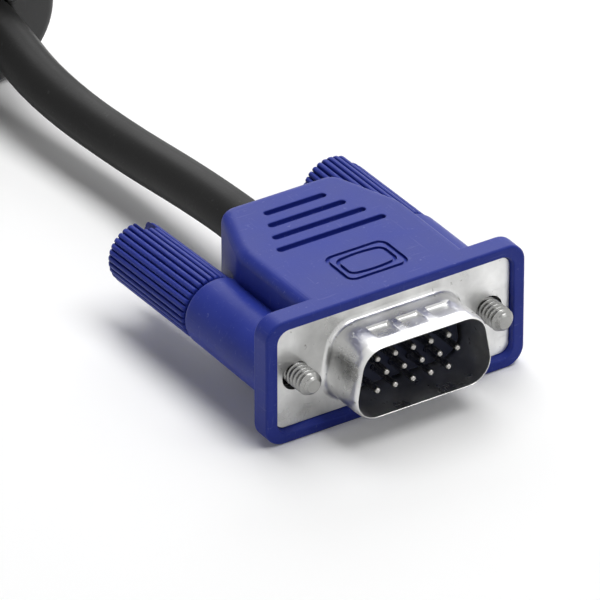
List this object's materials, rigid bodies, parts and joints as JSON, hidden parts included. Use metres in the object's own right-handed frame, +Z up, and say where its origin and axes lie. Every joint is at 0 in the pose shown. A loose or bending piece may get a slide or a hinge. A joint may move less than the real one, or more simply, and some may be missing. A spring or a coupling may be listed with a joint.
{
  "type": "video cable",
  "caption": "Video cable with a D-shaped pin plug and thumbscrews at each end, a ferrite sleeve behind one plug and the spare length folded in a tied hank.",
  "frame": {"origin": "middle of the near plug's footprint, on the surface that the cable lies on", "axes": "+Z up, -Y the way the near plug mates, +X to the right seen from the front of the near plug"},
  "size_m": [0.0538, 0.2299, 0.0341],
  "materials": {
    "hood_plastic": "satin, moulded blue",
    "knob_plastic": "satin, moulded blue",
    "plated_shell": "nickel plated, slightly scuffed",
    "insulator_plastic": "satin, blue-black",
    "pin_metal": "plated",
    "screw_steel": "nickel plated",
    "cable_jacket": "satin, black",
    "sleeve_plastic": "satin, black",
    "strap_fabric": "hook and loop, black"
  },
  "bodies": {
    "cable": {"hood_near": "hood_plastic", "front_shell_near": "plated_shell", "rear_shell_near": "plated_shell", "insulator_near": "insulator_plastic", "pin_01_near": "pin_metal", "pin_02_near": "pin_metal", "pin_03_near": "pin_metal", "pin_04_near": "pin_metal", "pin_05_near": "pin_metal", "pin_06_near": "pin_metal", "pin_07_near": "pin_metal", "pin_08_near": "pin_metal", "pin_09_near": "pin_metal", "pin_10_near": "pin_metal", "pin_11_near": "pin_metal", "pin_12_near": "pin_metal", "pin_13_near": "pin_metal", "pin_14_near": "pin_metal", "pin_15_near": "pin_metal", "hood_far": "hood_plastic", "front_shell_far": "plated_shell", "rear_shell_far": "plated_shell", "insulator_far": "insulator_plastic", "pin_01_far": "pin_metal", "pin_02_far": "pin_metal", "pin_03_far": "pin_metal", "pin_04_far": "pin_metal", "pin_05_far": "pin_metal", "pin_06_far": "pin_metal", "pin_07_far": "pin_metal", "pin_08_far": "pin_metal", "pin_09_far": "pin_metal", "pin_10_far": "pin_metal", "pin_11_far": "pin_metal", "pin_12_far": "pin_metal", "pin_13_far": "pin_metal", "pin_14_far": "pin_metal", "pin_15_far": "pin_metal", "cable_near": "cable_jacket", "cable_hank": "cable_jacket", "cable_far": "cable_jacket", "ferrite_sleeve": "sleeve_plastic", "hank_strap": "strap_fabric"},
    "ring_left_near": {"retaining_ring_left_near": "screw_steel"},
    "thumbscrew_left_near": {"jackscrew_left_near": "screw_steel", "thumb_knob_left_near": "knob_plastic"},
    "ring_right_near": {"retaining_ring_right_near": "screw_steel"},
    "thumbscrew_right_near": {"jackscrew_right_near": "screw_steel", "thumb_knob_right_near": "knob_plastic"},
    "ring_left_far": {"retaining_ring_left_far": "screw_steel"},
    "thumbscrew_left_far": {"jackscrew_left_far": "screw_steel", "thumb_knob_left_far": "knob_plastic"},
    "ring_right_far": {"retaining_ring_right_far": "screw_steel"},
    "thumbscrew_right_far": {"jackscrew_right_far": "screw_steel", "thumb_knob_right_far": "knob_plastic"}
  },
  "joints": [
    {"name": "screw_float_left_near", "type": "slide", "parent": "cable", "child": "ring_left_near", "axis": [0, 1, 0], "range_m": [0, 0.0035]},
    {"name": "screw_turn_left_near", "type": "hinge", "parent": "ring_left_near", "child": "thumbscrew_left_near", "pos_m": [-0.01249, -0.01065, 0.0077], "axis": [0, -1, 0], "continuous": true},
    {"name": "screw_float_right_near", "type": "slide", "parent": "cable", "child": "ring_right_near", "axis": [0, 1, 0], "range_m": [0, 0.0035]},
    {"name": "screw_turn_right_near", "type": "hinge", "parent": "ring_right_near", "child": "thumbscrew_right_near", "pos_m": [0.01249, -0.01065, 0.0077], "axis": [0, -1, 0], "continuous": true},
    {"name": "screw_float_left_far", "type": "slide", "parent": "cable", "child": "ring_left_far", "axis": [0, 1, 0], "range_m": [0, 0.0035]},
    {"name": "screw_turn_left_far", "type": "hinge", "parent": "ring_left_far", "child": "thumbscrew_left_far", "pos_m": [-0.03, 0.11624, 0.0264], "axis": [0, -1, 0], "continuous": true},
    {"name": "screw_float_right_far", "type": "slide", "parent": "cable", "child": "ring_right_far", "axis": [0, 1, 0], "range_m": [0, 0.0035]},
    {"name": "screw_turn_right_far", "type": "hinge", "parent": "ring_right_far", "child": "thumbscrew_right_far", "pos_m": [-0.005, 0.11624, 0.0264], "axis": [0, -1, 0], "continuous": true}
  ]
}
